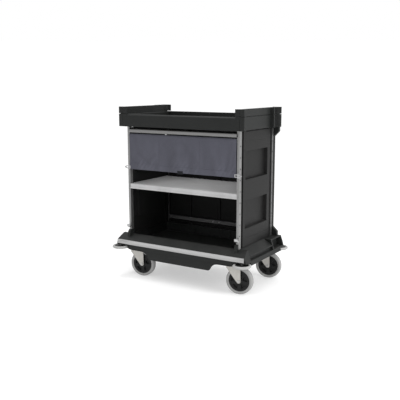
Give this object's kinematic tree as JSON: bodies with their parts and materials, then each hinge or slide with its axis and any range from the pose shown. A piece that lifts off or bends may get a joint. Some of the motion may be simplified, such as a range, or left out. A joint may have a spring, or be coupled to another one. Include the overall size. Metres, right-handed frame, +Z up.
{
  "type": "housekeeping cart",
  "caption": "Long housekeeping cart with a top tray, inner shelf, pull-down front blind, corner bumper rollers and swivel castors.",
  "frame": {"origin": "on the floor, under the middle of the cart's outer box", "axes": "+Z up, +X along the cart's length, -Y out of the open front with the blind"},
  "size_m": [1.204, 0.744, 1.3114],
  "materials": {
    "black_plastic": "satin black moulded plastic with a fine grain",
    "hub_plastic": "semi-gloss black moulded plastic",
    "aluminium": "satin anodised extrusion",
    "dark_rail": "dark grey satin paint",
    "bright_steel": "bright zinc-plated steel",
    "zinc_fork": "warm grey zinc and lacquer, pressed steel",
    "shelf_grey": "light grey satin plastic",
    "blind_fabric": "slate grey woven polyester",
    "tab_fabric": "black webbing",
    "grey_rubber": "light grey non-marking rubber"
  },
  "bodies": {
    "frame": {"base_deck": "black_plastic", "front_skirt": "black_plastic", "rear_skirt": "black_plastic", "front_strip": "aluminium", "strip_screws": "bright_steel", "post_front_left": "aluminium", "post_front_right": "aluminium", "post_rear_left": "aluminium", "post_rear_right": "aluminium", "post_feet": "black_plastic", "front_top_rail": "aluminium", "rear_rails": "dark_rail", "rail_bolts": "bright_steel", "side_panel_left": "black_plastic", "side_panel_right": "black_plastic", "back_panel_left": "black_plastic", "back_panel_right": "black_plastic", "corner_gussets": "black_plastic", "tray": "black_plastic", "end_rail_left": "black_plastic", "end_rail_right": "black_plastic", "shelf": "shelf_grey", "shelf_supports": "aluminium", "blind_brackets": "black_plastic", "upper_catches": "bright_steel", "lower_catches": "bright_steel", "bumper_pins": "bright_steel", "castor_bolts": "bright_steel", "castor_plate_front_left": "bright_steel", "castor_plate_front_right": "bright_steel", "castor_plate_rear_left": "bright_steel", "castor_plate_rear_right": "bright_steel"},
    "blind_roller": {"blind_tube": "aluminium"},
    "blind": {"blind_curtain": "blind_fabric", "blind_bar": "bright_steel", "pull_tab": "tab_fabric"},
    "castor_front_left": {"castor_fork_front_left": "zinc_fork", "castor_axle_front_left": "bright_steel"},
    "wheel_front_left": {"wheel_hub_front_left": "hub_plastic", "wheel_tyre_front_left": "grey_rubber"},
    "bumper_front_left": {"bumper_hub_front_left": "hub_plastic", "bumper_ring_front_left": "grey_rubber"},
    "castor_front_right": {"castor_fork_front_right": "zinc_fork", "castor_axle_front_right": "bright_steel"},
    "wheel_front_right": {"wheel_hub_front_right": "hub_plastic", "wheel_tyre_front_right": "grey_rubber"},
    "bumper_front_right": {"bumper_hub_front_right": "hub_plastic", "bumper_ring_front_right": "grey_rubber"},
    "castor_rear_left": {"castor_fork_rear_left": "zinc_fork", "castor_axle_rear_left": "bright_steel"},
    "wheel_rear_left": {"wheel_hub_rear_left": "hub_plastic", "wheel_tyre_rear_left": "grey_rubber"},
    "bumper_rear_left": {"bumper_hub_rear_left": "hub_plastic", "bumper_ring_rear_left": "grey_rubber"},
    "castor_rear_right": {"castor_fork_rear_right": "zinc_fork", "castor_axle_rear_right": "bright_steel"},
    "wheel_rear_right": {"wheel_hub_rear_right": "hub_plastic", "wheel_tyre_rear_right": "grey_rubber"},
    "bumper_rear_right": {"bumper_hub_rear_right": "hub_plastic", "bumper_ring_rear_right": "grey_rubber"}
  },
  "joints": [
    {"name": "swivel_front_left", "type": "hinge", "parent": "frame", "child": "castor_front_left", "pos_m": [-0.4278, -0.2342, 0.215], "axis": [0, 0, 1], "continuous": true},
    {"name": "roll_front_left", "type": "hinge", "parent": "castor_front_left", "child": "wheel_front_left", "pos_m": [-0.37802, -0.22632, 0.1], "axis": [-0.1564, 0.9877, 0], "continuous": true},
    {"name": "swivel_front_right", "type": "hinge", "parent": "frame", "child": "castor_front_right", "pos_m": [0.4278, -0.2342, 0.215], "axis": [0, 0, 1], "continuous": true},
    {"name": "roll_front_right", "type": "hinge", "parent": "castor_front_right", "child": "wheel_front_right", "pos_m": [0.47758, -0.22632, 0.1], "axis": [-0.1564, 0.9877, 0], "continuous": true},
    {"name": "swivel_rear_left", "type": "hinge", "parent": "frame", "child": "castor_rear_left", "pos_m": [-0.4278, 0.2342, 0.215], "axis": [0, 0, 1], "continuous": true},
    {"name": "roll_rear_left", "type": "hinge", "parent": "castor_rear_left", "child": "wheel_rear_left", "pos_m": [-0.37802, 0.24208, 0.1], "axis": [-0.1564, 0.9877, 0], "continuous": true},
    {"name": "swivel_rear_right", "type": "hinge", "parent": "frame", "child": "castor_rear_right", "pos_m": [0.4278, 0.2342, 0.215], "axis": [0, 0, 1], "continuous": true},
    {"name": "roll_rear_right", "type": "hinge", "parent": "castor_rear_right", "child": "wheel_rear_right", "pos_m": [0.47758, 0.24208, 0.1], "axis": [-0.1564, 0.9877, 0], "continuous": true},
    {"name": "bumper_spin_front_left", "type": "hinge", "parent": "frame", "child": "bumper_front_left", "pos_m": [-0.536, -0.306, 0.232], "axis": [0, 0, 1], "continuous": true},
    {"name": "bumper_spin_front_right", "type": "hinge", "parent": "frame", "child": "bumper_front_right", "pos_m": [0.536, -0.306, 0.232], "axis": [0, 0, 1], "continuous": true},
    {"name": "bumper_spin_rear_left", "type": "hinge", "parent": "frame", "child": "bumper_rear_left", "pos_m": [-0.536, 0.306, 0.232], "axis": [0, 0, 1], "continuous": true},
    {"name": "bumper_spin_rear_right", "type": "hinge", "parent": "frame", "child": "bumper_rear_right", "pos_m": [0.536, 0.306, 0.232], "axis": [0, 0, 1], "continuous": true},
    {"name": "blind_slide", "type": "slide", "parent": "frame", "child": "blind", "axis": [0, 0, 1], "range_m": [-0.448, 0.12], "deforming": ["blind_curtain"]},
    {"name": "roller_turn", "type": "hinge", "parent": "frame", "child": "blind_roller", "pos_m": [0, -0.253, 1.098], "axis": [1, 0, 0], "range_deg": [-1925, 520]}
  ],
  "couplings": [
    {"joint": "roller_turn", "follows": "blind_slide", "rad_per_m": 74.627}
  ]
}
